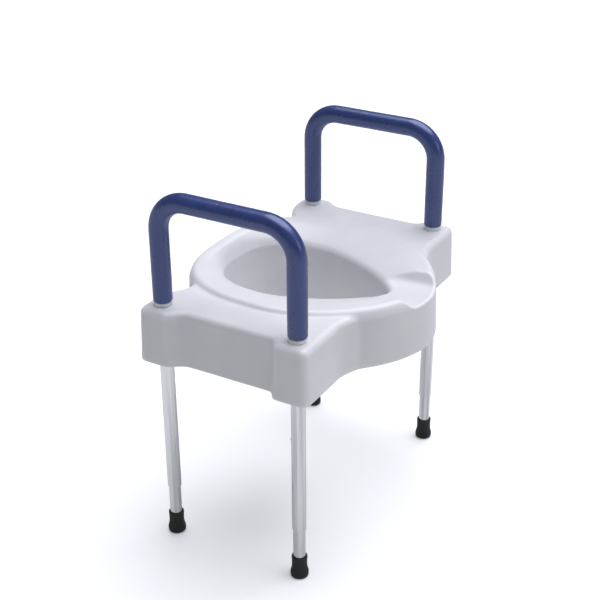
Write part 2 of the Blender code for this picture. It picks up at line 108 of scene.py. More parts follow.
class Paint:
    """A material in the making: one Principled shader and the nodes that feed it."""

    def __init__(self, name: str) -> None:
        """Starts the material.

        Args:
            name: Its name.
        """
        self.material = bpy.data.materials.new(name)
        self.material.use_nodes = True
        self.tree = self.material.node_tree
        self.shader = self.tree.nodes["Principled BSDF"]

    @cached_property
    def place(self) -> Socket:
        """The point on the piece, in its own metres."""
        return self.add("ShaderNodeTexCoord").outputs["Object"]

    def feed(self, node: Node | None = None, **inputs: Any) -> None:
        """Sets or links inputs of a node.

        Args:
            node: The node, or none for the shader.
            **inputs: A value or an output socket for each input, by name with _ for a space, or
                by number as i0, i1 and so on.
        """
        sockets = (node or self.shader).inputs
        for name, value in inputs.items():
            is_number = name[0] == "i" and name[1:].isdigit()
            socket = sockets[int(name[1:])] if is_number else sockets[name.replace("_", " ")]
            if isinstance(value, bpy.types.NodeSocket):
                self.tree.links.new(value, socket)
            else:
                socket.default_value = value

    def add(self, kind: str, settings: dict[str, Any] | None = None, **inputs: Any) -> Node:
        """Adds a node.

        Args:
            kind: The node's type name.
            settings: Properties of the node itself, such as its operation.
            **inputs: Its inputs, as for feed.

        Returns:
            The new node.
        """
        node = self.tree.nodes.new(kind)
        for name, value in (settings or {}).items():
            setattr(node, name, value)
        self.feed(node, **inputs)
        return node

    def noise(self, size_mm: float, detail: float, place: Socket | None = None) -> Socket:
        """Soft noise.

        Args:
            size_mm: About how wide one patch is.
            detail: How many finer layers it has.
            place: Where it is read, or none for the point on the piece.

        Returns:
            The noise, from 0 to 1.
        """
        return self.add("ShaderNodeTexNoise", Vector=place or self.place,
                        Scale=1.0 / (size_mm * MM), Detail=detail).outputs["Fac"]

    def drawn(self, width_mm: float, length_mm: float) -> Socket:
        """The point on the piece with its height squeezed, for noise drawn out along Z."""
        return self.add("ShaderNodeMapping", Vector=self.place,
                        Scale=(1.0, 1.0, width_mm / length_mm)).outputs[0]

    def ramp(self, source: Socket, low: float, high: float, to_low: float,
             to_high: float) -> Socket:
        """Maps the range low to high of a value to the range to_low to to_high, clamped."""
        return self.add("ShaderNodeMapRange", i0=source, i1=low, i2=high, i3=to_low,
                        i4=to_high).outputs[0]

    def mix(self, share: Socket, first: Socket | str, second: str) -> Socket:
        """Mixes two colours.

        Args:
            share: How much of the second one shows, from 0 to 1.
            first: A colour's socket, or a hex colour.
            second: A hex colour.

        Returns:
            The mixed colour.
        """
        start = linear(first) if isinstance(first, str) else first
        return self.add("ShaderNodeMix", {"data_type": "RGBA"}, i0=share, i6=start,
                        i7=linear(second)).outputs[2]

    def maths(self, operation: str, first: Socket, second: Socket | float) -> Socket:
        """Works out one sum of two values."""
        return self.add("ShaderNodeMath", {"operation": operation}, i0=first, i1=second).outputs[0]

    def bump(self, height: Socket, strength: float, height_mm: float, **under: Socket) -> Socket:
        """Turns a height to a normal.

        Args:
            height: The height, from 0 to 1.
            strength: How much of it shows.
            height_mm: How high 1 is.
            **under: Normal, where this bump lies on another one.

        Returns:
            The normal.
        """
        return self.add("ShaderNodeBump", Strength=strength, Distance=height_mm * MM,
                        Height=height, **under).outputs[0]


# ---- finishes ---------------------------------------------------------------------------
@dataclass(frozen=True)
class MouldedPolyethylene:
    """White high-density polyethylene, blow moulded against a lightly blasted steel mould.

    The eye gets a milky, slightly cool white that lets a little light in at the edges, a broad
    soft gloss, a fine pebble from the blasted mould and the slow waves of a wall that shrank as
    it cooled. Convex edges are painted a little paler, a painted highlight, and are smoother.
    """

    body: str = "#e6e6e8"
    shade: str = "#e0e0e3"
    # painted highlight: the paler colour of the convex edges
    edge_highlight: str = "#f0f0f2"
    roughness: float = 0.36
    ior: float = 1.50                     # typical of polyethylene
    pebble_mm: float = 0.9                # the blast grain is 0.2 mm; this is the finest that shows
    pebble_height_mm: float = 0.025
    wave_mm: float = 60.0
    wave_height_mm: float = 0.22
    cloud_mm: float = 70.0
    glow_mm: float = 3.0                  # how far light spreads under the surface

    def make(self) -> Material:
        """Builds the material."""
        paint = Paint("blow_moulded_hdpe_white")
        cloud = paint.noise(self.cloud_mm, 3.0)
        edges = paint.add("ShaderNodeNewGeometry").outputs["Pointiness"]
        # convex edges: the paler colour is a painted highlight, the lower roughness a real smoothing
        edge_smoothing_and_highlight = paint.ramp(edges, 0.505, 0.54, 0.0, 1.0)
        tint = paint.mix(paint.ramp(cloud, 0.3, 0.7, 0.0, 1.0), self.shade, self.body)
        patchy = paint.ramp(cloud, 0.25, 0.75, self.roughness - 0.04, self.roughness + 0.06)
        slow = paint.bump(paint.noise(self.wave_mm, 1.0), 1.0, self.wave_height_mm)
        fine = paint.bump(paint.noise(self.pebble_mm, 2.0), 0.8, self.pebble_height_mm, Normal=slow)
        paint.feed(Base_Color=paint.mix(edge_smoothing_and_highlight, tint, self.edge_highlight),
                   Roughness=paint.maths("ADD", patchy, paint.maths("MULTIPLY", edge_smoothing_and_highlight, -0.06)),
                   Normal=fine, IOR=self.ior, Subsurface_Weight=0.10,
                   Subsurface_Radius=(1.0, 0.95, 0.9), Subsurface_Scale=self.glow_mm * MM)
        return paint.material


@dataclass(frozen=True)
class ClosedCellFoam:
    """Blue nitrile foam sleeve, extruded and skinned.

    The eye gets a deep blue with a satin highlight from the waxy skin, a faint unevenness from
    the cells under it, and a slightly brighter patch where hands have polished it.
    """

    blue: str = "#283b78"
    deep: str = "#263771"
    polished: str = "#2c4083"
    roughness: float = 0.30
    ior: float = 1.60                     # nitrile rubber is near 1.52; tuned up to the photo
    gleam: str = "#d6e0ff"                # the skin's own tint in its highlights
    cell_mm: float = 1.1                  # real cells are 0.3 mm; this is the finest that shows
    cell_height_mm: float = 0.02
    mottle_mm: float = 14.0
    hand_mm: float = 90.0

    def make(self) -> Material:
        """Builds the material."""
        paint = Paint("nitrile_foam_blue")
        mottle = paint.noise(self.mottle_mm, 4.0)
        touched = paint.ramp(paint.noise(self.hand_mm, 1.0), 0.5, 0.75, 0.0, 0.6)
        tint = paint.mix(paint.ramp(mottle, 0.35, 0.65, 0.0, 1.0), self.deep, self.blue)
        paint.feed(Base_Color=paint.mix(touched, tint, self.polished),
                   Roughness=paint.ramp(mottle, 0.3, 0.7, self.roughness - 0.05,
                                        self.roughness + 0.07),
                   Normal=paint.bump(paint.noise(self.cell_mm, 1.0), 0.5, self.cell_height_mm),
                   IOR=self.ior, Specular_IOR_Level=1.0, Specular_Tint=linear(self.gleam))
        return paint.material


@dataclass(frozen=True)
class AnodisedTube:
    """Drawn aluminium tube, clear anodised.

    The eye gets a bright silver with hair-fine lines along the tube from the drawing die, which
    smear its reflections sideways. The grey bands along it are painted reflection: dark stripes
    that stand in for dark surroundings mirrored in the tube.
    """

    silver: str = "#f0f1f3"
    # painted reflection: the grey of the dark bands along the tube
    reflection_grey: str = "#bcbfc3"
    roughness: float = 0.20
    line_mm: float = 0.5                  # real die lines are 0.05 mm; this is the finest that shows
    line_length_mm: float = 60.0
    line_height_mm: float = 0.006
    # width and length of the painted dark reflection bands
    reflection_band_mm: float = 9.0
    reflection_band_length_mm: float = 700.0

    def make(self) -> Material:
        """Builds the material."""
        paint = Paint("anodised_aluminium_drawn")
        lines = paint.noise(self.line_mm, 2.0, paint.drawn(self.line_mm, self.line_length_mm))
        # painted reflection: grey bands along the tube stand in for dark surroundings mirrored in it
        reflection_bands = paint.noise(self.reflection_band_mm, 3.0,
                              paint.drawn(self.reflection_band_mm, self.reflection_band_length_mm))
        paint.feed(Base_Color=paint.mix(paint.ramp(reflection_bands, 0.42, 0.68, 0.0, 1.0), self.silver,
                                        self.reflection_grey),
                   Roughness=paint.ramp(lines, 0.3, 0.7, self.roughness - 0.05,
                                        self.roughness + 0.08),
                   Normal=paint.bump(lines, 0.6, self.line_height_mm),
                   Metallic=1.0, Anisotropic=0.4)
        return paint.material


@dataclass(frozen=True)
class MouldedNylon:
    """White nylon collar, injection moulded.

    The eye gets a clean, slightly cool white, a little glossier than the seat, with a faint
    cloudiness.
    """

    white: str = "#ededee"
    grime: str = "#cfcfca"
    roughness: float = 0.34
    ior: float = 1.53                     # typical of nylon
    cloud_mm: float = 5.0
    grain_mm: float = 0.6
    grain_height_mm: float = 0.01

    def make(self) -> Material:
        """Builds the material."""
        paint = Paint("nylon_moulded_white")
        cloud = paint.noise(self.cloud_mm, 3.0)
        paint.feed(Base_Color=paint.mix(paint.ramp(cloud, 0.5, 0.8, 0.0, 0.5), self.white,
                                        self.grime),
                   Roughness=paint.ramp(cloud, 0.3, 0.7, self.roughness - 0.03,
                                        self.roughness + 0.06),
                   Normal=paint.bump(paint.noise(self.grain_mm, 1.0), 0.4, self.grain_height_mm),
                   IOR=self.ior)
        return paint.material


@dataclass(frozen=True)
class MouldedRubber:
    """Black natural rubber, compression moulded and never polished.

    The eye gets a dense near-black that greys a little on high edges where it has scraped on
    floors, a powdery matt surface and a fine open grain.
    """

    black: str = "#1d1d1e"
    dusty: str = "#2a2a2a"
    scuffed: str = "#3c3c3e"
    roughness: float = 0.66
    ior: float = 1.52                     # typical of natural rubber
    grain_mm: float = 0.7
    grain_height_mm: float = 0.04
    dust_mm: float = 9.0

    def make(self) -> Material:
        """Builds the material."""
        paint = Paint("natural_rubber_black")
        dust = paint.noise(self.dust_mm, 4.0)
        edges = paint.add("ShaderNodeNewGeometry").outputs["Pointiness"]
        tint = paint.mix(paint.ramp(dust, 0.45, 0.75, 0.0, 1.0), self.black, self.dusty)
        paint.feed(Base_Color=paint.mix(paint.ramp(edges, 0.52, 0.60, 0.0, 0.7), tint,
                                        self.scuffed),
                   Roughness=paint.ramp(dust, 0.3, 0.7, self.roughness - 0.08,
                                        self.roughness + 0.1),
                   Normal=paint.bump(paint.noise(self.grain_mm, 3.0), 0.7, self.grain_height_mm),
                   IOR=self.ior)
        return paint.material


@dataclass(frozen=True)
class ZincPlate:
    """Spring steel and steel pressings, bright zinc plated.

    The eye gets a cool bluish grey with cloudy patches from the plating bath and the faint
    grain of the strip it was stamped from.
    """

    zinc: str = "#b9bcc0"
    blush: str = "#9a9fae"
    roughness: float = 0.32
    bloom_mm: float = 3.5
    grain_mm: float = 0.4
    grain_height_mm: float = 0.008

    def make(self) -> Material:
        """Builds the material."""
        paint = Paint("zinc_plated_steel")
        bloom = paint.noise(self.bloom_mm, 3.0)
        paint.feed(Base_Color=paint.mix(paint.ramp(bloom, 0.35, 0.7, 0.0, 1.0), self.zinc,
                                        self.blush),
                   Roughness=paint.ramp(bloom, 0.3, 0.7, self.roughness - 0.06,
                                        self.roughness + 0.1),
                   Normal=paint.bump(paint.noise(self.grain_mm, 1.0), 0.4, self.grain_height_mm),
                   Metallic=1.0)
        return paint.material


FINISHES: dict[Slot, Any] = {
    Slot.SHELL: MouldedPolyethylene(),
    Slot.FOAM: ClosedCellFoam(),
    Slot.ALLOY: AnodisedTube(),
    Slot.COLLAR: MouldedNylon(),
    Slot.RUBBER: MouldedRubber(),
    Slot.STEEL: ZincPlate(),
}


@dataclass
class Wardrobe:
    """The finished materials, one for each slot."""

    materials: dict[Slot, Material] = field(default_factory=dict)

    def make(self) -> None:
        """Builds every finish once."""
        for slot, finish in FINISHES.items():
            self.materials[slot] = finish.make()

    def dress(self, obj: bpy.types.Object, slot: Slot) -> None:
        """Gives an object one slot's finish, in place of whatever it had."""
        obj.data.materials.clear()
        obj.data.materials.append(self.materials[slot])


WARDROBE = Wardrobe()


# ---- mesh helpers -----------------------------------------------------------------------
def add_piece(name: str, mesh: bpy.types.Mesh, slot: Slot, body: str, *nodes: str,
              sharp_deg: float = CRISP_DEG) -> bpy.types.Object:
    """Puts a finished mesh in the scene as a piece of the object.

    Args:
        name: The piece's name.
        mesh: Its mesh, in metres and in place.
        slot: The record's slot that it takes its finish from.
        body: The body that it moves with.
        *nodes: The frame's nodes that it stands for.
        sharp_deg: Edges that turn by more than this stay crisp.

    Returns:
        The new object.
    """
    mesh.shade_smooth()
    mesh.set_sharp_from_angle(angle=math.radians(sharp_deg))
    obj = bpy.data.objects.new(name, mesh)
    bpy.context.scene.collection.objects.link(obj)
    WARDROBE.dress(obj, slot)
    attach(obj, body)
    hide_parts(*nodes)
    LOG.info("%s: %d faces on %s", name, len(mesh.polygons), body)
    return obj


def mesh_from(vertices: Array, faces: Array, name: str) -> bpy.types.Mesh:
    """Makes a mesh from arrays.

    Args:
        vertices: One row of x, y, z in metres for each vertex.
        faces: One row of vertex numbers for each face.
        name: The mesh's name.

    Returns:
        The mesh.
    """
    mesh = bpy.data.meshes.new(name)
    mesh.from_pydata(vertices.tolist(), [], faces.tolist())
    mesh.update()
    return mesh


def skin(rows: Array, name: str, closed: bool) -> bpy.types.Mesh:
    """Skins rows of points that each run round in a ring.

    Args:
        rows: Points of shape (rows, points in a ring, 3), in metres.
        name: The mesh's name.
        closed: Whether the last row joins the first; otherwise both ends are capped.

    Returns:
        The mesh, with its faces pointing out.
    """
    count, around = rows.shape[:2]
    bm = bmesh.new()
    verts = [bm.verts.new(p) for p in rows.reshape(-1, 3)]
    for r in range(count if closed else count - 1):
        for k in range(around):
            a, b = r * around, (r + 1) % count * around
            n = (k + 1) % around
            bm.faces.new((verts[a + k], verts[a + n], verts[b + n], verts[b + k]))
    if not closed:
        bm.faces.new(verts[:around])
        bm.faces.new(verts[-around:])
    bmesh.ops.recalc_face_normals(bm, faces=bm.faces)
    mesh = bpy.data.meshes.new(name)
    bm.to_mesh(mesh)
    bm.free()
    return mesh


def arc_points(centre: Point2, radius: float, start_deg: float, end_deg: float,
               steps: int) -> list[Point2]:
    """Points along an arc in steps chords, both ends included."""
    turns = np.radians(np.linspace(start_deg, end_deg, steps + 1))
    return [(centre[0] + radius * math.cos(a), centre[1] + radius * math.sin(a)) for a in turns]


def turned(profile: Sequence[Point2], name: str, x: float, y: float, sides: int = 64,
           closed: bool = True) -> bpy.types.Mesh:
    """A solid of revolution about a vertical axis.

    Args:
        profile: (radius, height) points in mm, round the section.
        name: The mesh's name.
        x: The axis's place in mm.
        y: The axis's place in mm.
        sides: Sides of the turned piece.
        closed: Whether the section is a closed ring, as on a tube.

    Returns:
        The mesh.
    """
    turns = np.linspace(0.0, 2.0 * math.pi, sides, endpoint=False)
    section = np.array(profile)
    rows = np.stack([x + np.outer(section[:, 0], np.cos(turns)),
                     y + np.outer(section[:, 0], np.sin(turns)),
                     np.repeat(section[:, 1:], sides, axis=1)], axis=-1)
    return skin(rows * MM, name, closed)


def add_bevel(obj: bpy.types.Object, width_mm: float, segments: int = 2) -> None:
    """Breaks an object's crisp edges.

    Args:
        obj: The object.
        width_mm: The bevel's width.
        segments: Its steps.
    """
    bevel = obj.modifiers.new("broken_edges", "BEVEL")
    bevel.width = width_mm * MM
    bevel.segments = segments
    bevel.limit_method = "ANGLE"
    bevel.angle_limit = math.radians(CRISP_DEG)


def drill(obj: bpy.types.Object, holes: Sequence[tuple[float, float, float]],
          radius_mm: float) -> None:
    """Drills holes along +Y through the rear wall of a tube.

    Args:
        obj: The tube, whose mesh is replaced by the drilled one.
        holes: The tube axis's x and y and the hole's z for each hole, in mm.
        radius_mm: The holes' radius.
    """
    bm = bmesh.new()
    start, reach = 4.0, 14.0              # the bit's path from the tube's axis, through one wall
    for x, y, z in holes:
        place = Matrix.Translation(Vector((x, y + start + reach / 2.0, z)) * MM)
        turn = Matrix.Rotation(math.radians(90.0), 4, "X")
        bmesh.ops.create_cone(bm, cap_ends=True, segments=32, radius1=radius_mm * MM,
                              radius2=radius_mm * MM, depth=reach * MM, matrix=place @ turn)
    cutter_mesh = bpy.data.meshes.new("drill")
    bm.to_mesh(cutter_mesh)
    bm.free()
    cutter = bpy.data.objects.new("drill", cutter_mesh)
    bpy.context.scene.collection.objects.link(cutter)
    cut = obj.modifiers.new("drill", "BOOLEAN")
    cut.object = cutter
    cut.operation = "DIFFERENCE"
    bpy.context.view_layer.update()
    done = bpy.data.meshes.new_from_object(
        obj.evaluated_get(bpy.context.evaluated_depsgraph_get()))
    obj.modifiers.clear()
    done.name = obj.data.name
    obj.data = done
    done.shade_smooth()
    done.set_sharp_from_angle(angle=math.radians(CRISP_DEG))
    bpy.data.objects.remove(cutter)


# ---- the frame's places -----------------------------------------------------------------
def box_mm(node: str) -> tuple[Array, Array]:
    """A node's lowest and highest corners, in mm."""
    low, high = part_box(node)
    return np.array(low) / MM, np.array(high) / MM


@dataclass(frozen=True)
class Layout:
    """Where the frame says that things are, in mm."""

    posts: dict[Corner, Point2]
    lip_bottom: float
    underside: float
    crest: float
    deck_top: float
    leg_bottom: float
    leg_top: float
    extension_bottom: float
    extension_top: float
    arm_bottom: float
    hand_bar: float
    button_z: float
    arm_lock_z: float
    seam_y: float

    @classmethod
    def from_frame(cls) -> Layout:
        """Reads the places off the nodes' boxes."""
        posts = {}
        for corner in Corner:
            low, high = box_mm(f"leg_tube_{corner.value}")
            posts[corner] = ((low[0] + high[0]) / 2.0, (low[1] + high[1]) / 2.0)
        shell_low, shell_high = box_mm("seat_shell")
        rest = next(m for m in frame["record"]["mounts"] if m["name"] == "bowl_rest")
        collar_low, _ = box_mm("arm_collar_front_left")
        leg_low, leg_high = box_mm("leg_tube_front_left")
        slim_low, slim_high = box_mm("leg_extension_front_left")
        arm_low, arm_high = box_mm("arm_tube_left")
        button_low, button_high = box_mm("leg_button_front_left")
        clip_low, clip_high = box_mm("arm_lock_clip_front_left")
        foam_low, _ = box_mm("arm_foam_rear_left")
        # above the button the clip has its bend_share and its round fold, and below it the rest
        clip_height = (clip_high[2] - clip_low[2]) - LeafSpring.depth / 2.0
        below = 1.0 - LeafSpring.bend_share / LeafSpring.leg_share
        return cls(posts, shell_low[2], rest["pos_m"][2] / MM, shell_high[2],
                   collar_low[2] - ArmRest.gap, leg_low[2], leg_high[2], slim_low[2], slim_high[2],
                   arm_low[2], arm_high[2] - ArmRest.tube_r, (button_low[2] + button_high[2]) / 2.0,
                   clip_low[2] + clip_height * below, foam_low[1])


# ---- the moulded seat -------------------------------------------------------------------
def smooth_min(a: Array, b: Array, radius: float) -> Array:
    """Joins two distance fields with a fillet that reaches radius mm."""
    near = np.maximum(radius - np.abs(a - b), 0.0) / radius
    return np.minimum(a, b) - near * near * radius * 0.25


def smooth_max(a: Array, b: Array, radius: float) -> Array:
    """What two distance fields both hold, the edge between them rounded over radius mm."""
    return -smooth_min(-a, -b, radius)


def oval(half_width: float, mid_y: float, front_y: float, rear_y: float, front_power: float,
         rear_power: float, count: int = 240) -> Array:
    """A rounded oval with its own power at each end, counter-clockwise from its front point.

    Args:
        half_width: Its half width.
        mid_y: Where it is widest.
        front_y: Its front point.
        rear_y: Its rear point.
        front_power: 2 is an ellipse, less is more pointed.
        rear_power: 2 is an ellipse, more is squarer.
        count: How many points it has.

    Returns:
        The points, one x and y to a row.
    """
    turn = np.linspace(0.0, 2.0 * math.pi, count, endpoint=False) - math.pi / 2.0
    across, along = np.cos(turn), np.sin(turn)
    power = np.where(along < 0.0, front_power, rear_power)
    reach = np.where(along < 0.0, mid_y - front_y, rear_y - mid_y)
    x = half_width * np.sign(across) * np.abs(across) ** (2.0 / power)
    y = mid_y + reach * np.sign(along) * np.abs(along) ** (2.0 / power)
    return np.stack([x, y], axis=1)


def soften(outline: Array, rounds: int) -> Array:
    """Cuts an outline's corners until it runs smoothly.

    Args:
        outline: The outline's points.
        rounds: How many times each corner is cut.

    Returns:
        The smoother outline.
    """
    for _ in range(rounds):
        following = np.roll(outline, -1, axis=0)
        outline = np.stack([outline * 0.75 + following * 0.25,
                            outline * 0.25 + following * 0.75], axis=1).reshape(-1, 2)
    return outline


def outline_distance(x: Array, y: Array, outline: Array) -> Array:
    """Distance to a closed outline, negative inside it.

    Args:
        x: Where to measure.
        y: Where to measure.
        outline: The outline's points.

    Returns:
        The distances, in the shape of x.
    """
    nearest = np.full(x.shape, np.inf)
    inside = np.zeros(x.shape, bool)
    for (ax, ay), (bx, by) in zip(outline, np.roll(outline, -1, axis=0)):
        dx, dy = bx - ax, by - ay
        length = dx * dx + dy * dy
        if length < 1e-9:
            continue
        share = np.clip(((x - ax) * dx + (y - ay) * dy) / length, 0.0, 1.0)
        nearest = np.minimum(nearest, (x - ax - share * dx) ** 2 + (y - ay - share * dy) ** 2)
        if abs(dy) > 1e-9:
            inside ^= ((ay > y) != (by > y)) & (x < dx * (y - ay) / dy + ax)
    return np.where(inside, -1.0, 1.0) * np.sqrt(nearest)


def blur(values: Array, rounds: int) -> Array:
    """Evens a map out with a small kernel.

    Args:
        values: The map.
        rounds: How many times the kernel runs.

    Returns:
        The smoother map, in the same shape.
    """
    for _ in range(rounds):
        for axis in (0, 1):
            padded = np.pad(values, [(1, 1) if a == axis else (0, 0) for a in (0, 1)], "edge")
            before, after = (np.take(padded, np.arange(values.shape[axis]) + o, axis)
                             for o in (0, 2))
            values = values * 0.5 + (before + after) * 0.25
    return values


@dataclass
class PlanMap:
    """A value for each place in the seat's plan, read between its points by a cubic."""

    values: Array
    low: Point2
    step: float

    def read(self, x: Array, y: Array) -> Array:
        """The value at any places.

        Args:
            x: Where, in mm.
            y: Where, in mm.

        Returns:
            The values, in the shape of x.
        """
        u, v = (x - self.low[0]) / self.step, (y - self.low[1]) / self.step
        col = np.clip(np.floor(u).astype(int), 1, self.values.shape[0] - 3)
        row = np.clip(np.floor(v).astype(int), 1, self.values.shape[1] - 3)
        across, along = self.weights(u - col), self.weights(v - row)
        total = np.zeros(x.shape)
        for i in range(4):
            for j in range(4):
                total += across[i] * along[j] * self.values[col + i - 1, row + j - 1]
        return total

    @staticmethod
    def weights(t: Array) -> list[Array]:
        """The four weights of a Catmull-Rom cubic at share t."""
        return [((-t + 2.0) * t - 1.0) * t / 2.0, ((3.0 * t - 5.0) * t * t + 2.0) / 2.0,
                ((-3.0 * t + 4.0) * t + 1.0) * t / 2.0, (t - 1.0) * t * t / 2.0]


def surface_net(values: Array, low: Array, pitch: float) -> tuple[Array, Array]:
    """Skins the zero level of a field with one vertex for each cell that it crosses.

    Args:
        values: The field on a regular grid, negative inside.
        low: The grid's lowest corner.
        pitch: The grid's spacing.

    Returns:
        The vertices, and the quads as rows of vertex numbers.
    """
    inside = values < 0.0
    cells = tuple(n - 1 for n in values.shape)
    filled = np.zeros(cells, int)
    for corner in np.ndindex(2, 2, 2):
        filled += inside[tuple(slice(c, c + n) for c, n in zip(corner, cells))]
    crossed = (filled > 0) & (filled < 8)
    number = np.full(cells, -1)
    number[crossed] = np.arange(crossed.sum())
    sums, hits, quads = np.zeros((crossed.sum(), 3)), np.zeros(crossed.sum()), []
    for axis in range(3):
        start = tuple(slice(None, -1) if a == axis else slice(None) for a in range(3))
        end = tuple(slice(1, None) if a == axis else slice(None) for a in range(3))
        cut = inside[start] != inside[end]
        first, second = values[start][cut], values[end][cut]
        edge = np.argwhere(cut)
        point = edge.astype(float)
        point[:, axis] += first / (first - second)
        side, other = (axis + 1) % 3, (axis + 2) % 3
        ring = []
        for back, down in ((0, 0), (1, 0), (1, 1), (0, 1)):
            cell = edge.copy()
            cell[:, side] -= back
            cell[:, other] -= down
            owner = number[tuple(cell.T)]
            ring.append(owner)
            hits += np.bincount(owner, minlength=len(hits))
            for a in range(3):
                sums[:, a] += np.bincount(owner, point[:, a], len(hits))
        quad = np.stack(ring, axis=1)
        leaving = first < 0.0
        quad[leaving] = quad[leaving][:, ::-1]
        quads.append(quad)
    return low + sums / hits[:, None] * pitch, np.concatenate(quads)[:, ::-1]


@dataclass
class SeatBody:
    """The blow-moulded seat: deck, corner bosses, ring, sitting surface, hole and dip."""

    layout: Layout
    deck_edge: float = 12.0
    base_edge: float = 3.0
    base_flare: float = 4.0               # mould draft: how much wider the bottom is, each side
    side_wall_x: float = 274.0
    boss_half: float = 32.0
    boss_corner: float = 14.0
    ring_half_width: float = 205.0
    ring_half_length: float = 223.0
    ring_front_power: float = 1.8
    ring_rear_power: float = 2.7
    ring_inset: float = 3.0
    ring_edge: float = 12.0
    crest_width: float = 24.0
    hole_half_width: float = 111.0
    hole_mid_y: float = 50.0
    hole_front_y: float = -143.0
    hole_rear_y: float = 180.0
    hole_front_power: float = 1.45
    hole_rear_power: float = 2.5
    hole_edge_z: float = 462.0
    hole_draft: float = 8.0               # how much narrower the hole is at the lip's bottom
    lip_wall: float = 4.5
    lip_root: float = 12.0                # how far the lip runs up into the body
    funnel_power: float = 1.5
    dip_floor_half: float = 44.0
    dip_floor_z: float = 468.5
    dip_fall: float = 6.0
    dip_slope: float = 0.85
    dip_rear_y: float = -85.0
    socket_r: float = 13.6
    socket_top: float = 476.6
    bore_r: float = 12.2
    vent_r: float = 4.5
    vent_x: float = 100.0
    vent_y: float = -150.0
    voxel: float = 2.7
    map_step: float = 1.8
    margin: float = 12.0
    maps: dict[str, PlanMap] = field(default_factory=dict)

    def left_outline(self) -> Array:
        """The plan on the user's left, from the front middle round to the rear middle."""
        edge = self.layout.posts[Corner.FRONT_LEFT][0] + self.boss_half
        wall, corner = self.side_wall_x, self.boss_corner
        face = self.layout.posts[Corner.FRONT_LEFT][1] - self.boss_half
        back = self.layout.posts[Corner.FRONT_LEFT][1] + self.boss_half
        rise = self.layout.posts[Corner.REAR_LEFT][1] - self.boss_half
        rear = self.layout.posts[Corner.REAR_LEFT][1] + self.boss_half
        ring = self.ring_outline()
        skirt = [tuple(p) for p in ring if p[0] >= -1e-6 and p[1] < face - 12.0]
        bulge = [tuple(p) for p in ring if p[0] >= -1e-6 and p[1] > rear - 19.0]
        front = [(157.0, face - 5.7), (180.0, face + 1.0), (210.0, face), (245.0, face)]
        front += arc_points((edge - corner, face + corner), corner, -90.0, 0.0, 8)
        step = [(edge, back - 18.0), (edge, back - 6.0), (edge - 6.0, back),
                (wall + 8.0, back + 3.0), (wall, back + 11.0), (wall, back + 30.0)]
        climb = [(wall, rise - 60.0), (wall, rise - 32.0), (wall + 2.0, rise - 18.0),
                 (wall + 9.0, rise - 7.0), (edge - 6.0, rise), (edge, rise + 8.0),
                 (edge, rise + 20.0)]
        boss = arc_points((edge - corner, rear - corner), corner, 0.0, 90.0, 8)
        valley = [(258.0, rear), (246.0, rear), (226.0, rear - 4.3), (208.0, rear - 13.3),
                  (192.0, rear - 23.3), (178.0, rear - 28.3), (167.0, rear - 27.3)]
        return np.array(skirt + front + step + climb + boss + valley + bulge)

    def ring_outline(self) -> Array:
        """The seat ring's oval."""
        return oval(self.ring_half_width, 0.0, -self.ring_half_length, self.ring_half_length,
                    self.ring_front_power, self.ring_rear_power)

    def draw_maps(self) -> None:
        """Measures the plan once: outline, ring, hole and the sitting surface's height."""
        left = self.left_outline()
        mirrored = left[::-1][left[::-1, 0] > 1e-6] * (-1.0, 1.0)
        outline = soften(np.concatenate([left, mirrored]), 2)
        hole = oval(self.hole_half_width, self.hole_mid_y, self.hole_front_y, self.hole_rear_y,
                    self.hole_front_power, self.hole_rear_power)
        reach = np.abs(outline).max(axis=0) + self.base_flare + self.margin + 3.0 * self.map_step
        xs, ys = (np.arange(-r, r + self.map_step, self.map_step) for r in reach)
        x, y = np.meshgrid(xs, ys, indexing="ij")
        ring_d = outline_distance(x, y, self.ring_outline())
        hole_d = outline_distance(x, y, hole)
        within = -(ring_d + self.crest_width)
        share = np.clip(hole_d, 0.0, None) / np.maximum(
            np.clip(hole_d, 0.0, None) + np.clip(within, 0.0, None), 1e-6)
        rise = self.layout.crest - self.hole_edge_z
        top = self.hole_edge_z + rise * (1.0 - (1.0 - share) ** self.funnel_power)
        top = blur(np.where(within < 0.0, self.layout.crest - 0.35 * within, top), 4)
        slope = np.gradient(top, self.map_step)
        lean = 1.0 / np.sqrt(1.0 + slope[0] ** 2 + slope[1] ** 2)
        for name, values in (("outline", blur(outline_distance(x, y, outline), 2)),
                             ("ring", blur(ring_d, 2)), ("hole", blur(hole_d, 3)),
                             ("top", top), ("lean", lean)):
            self.maps[name] = PlanMap(values, (xs[0], ys[0]), self.map_step)

    @staticmethod
    def block(side: Array, z: Array, low: float, high: float, low_edge: float,
              high_edge: float) -> Array:
        """Distance to an outline raised between two heights, with rounded edges.

        Args:
            side: Distance to the outline.
            z: Height.
            low: The block's bottom.
            high: The block's top.
            low_edge: Radius of its bottom edge.
            high_edge: Radius of its top edge.

        Returns:
            The distances.
        """
        middle, half = (low + high) / 2.0, (high - low) / 2.0
        edge = np.where(z > middle, high_edge, low_edge)
        out, up = side + edge, np.abs(z - middle) - half + edge
        return (np.minimum(np.maximum(out, up), 0.0)
                + np.hypot(np.maximum(out, 0.0), np.maximum(up, 0.0)) - edge)

